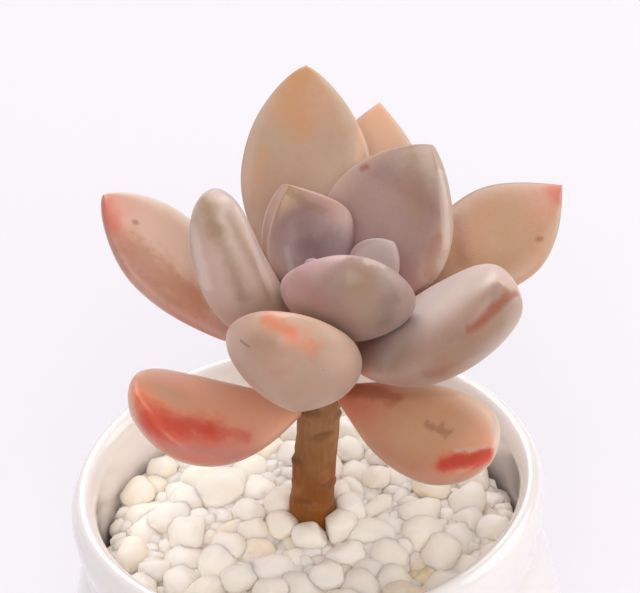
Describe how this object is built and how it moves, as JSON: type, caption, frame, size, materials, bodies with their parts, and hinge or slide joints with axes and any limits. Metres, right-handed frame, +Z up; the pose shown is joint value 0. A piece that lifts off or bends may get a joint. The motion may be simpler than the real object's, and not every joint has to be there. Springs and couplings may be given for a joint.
{
  "type": "potted ghost plant",
  "caption": "Small rosette succulent with thick pointed waxy leaves on a short bare stem, in a round white glazed pot top-dressed with white gravel.",
  "frame": {"origin": "centre of the pot's flat underside", "axes": "+Z up along the pot's axis; -Y towards the viewer of the picture; +X to the viewer's right"},
  "size_m": [0.0786, 0.0756, 0.116],
  "materials": {
    "glaze": "glossy white glaze",
    "potting_mix": "damp bark and compost",
    "white_stone": "matte rounded gravel",
    "bark": "dry woody stem",
    "skin_leaf_bud_right": "waxy leaf with pale bloom",
    "skin_leaf_inner_left": "waxy leaf with pale bloom",
    "skin_leaf_bud_left": "waxy leaf with pale bloom",
    "skin_leaf_inner_front": "waxy leaf with pale bloom",
    "skin_leaf_inner_right": "waxy leaf with pale bloom",
    "skin_leaf_back": "waxy leaf with pale bloom",
    "skin_leaf_upright_left": "waxy leaf with pale bloom",
    "skin_leaf_upright_right": "waxy leaf with pale bloom",
    "skin_leaf_right": "waxy leaf with pale bloom",
    "skin_leaf_left": "waxy leaf with pale bloom",
    "skin_leaf_back_right": "waxy leaf with pale bloom",
    "skin_leaf_front": "waxy leaf with pale bloom",
    "skin_leaf_lower_back_right": "waxy leaf with pale bloom",
    "skin_leaf_lower_back_left": "waxy leaf with pale bloom",
    "skin_leaf_lower_back": "waxy leaf with pale bloom",
    "skin_leaf_lower_left": "waxy leaf with pale bloom",
    "skin_leaf_lower_right": "waxy leaf with pale bloom"
  },
  "bodies": {
    "root": {"pot": "glaze", "potting_soil": "potting_mix", "gravel_top_dressing": "white_stone", "stem": "bark", "leaf_bud_right": "skin_leaf_bud_right", "leaf_inner_left": "skin_leaf_inner_left", "leaf_bud_left": "skin_leaf_bud_left", "leaf_inner_front": "skin_leaf_inner_front", "leaf_inner_right": "skin_leaf_inner_right", "leaf_back": "skin_leaf_back", "leaf_upright_left": "skin_leaf_upright_left", "leaf_upright_right": "skin_leaf_upright_right", "leaf_right": "skin_leaf_right", "leaf_left": "skin_leaf_left", "leaf_back_right": "skin_leaf_back_right", "leaf_front": "skin_leaf_front", "leaf_lower_back_right": "skin_leaf_lower_back_right", "leaf_lower_back_left": "skin_leaf_lower_back_left", "leaf_lower_back": "skin_leaf_lower_back", "leaf_lower_left": "skin_leaf_lower_left", "leaf_lower_right": "skin_leaf_lower_right"}
  },
  "joints": []
}
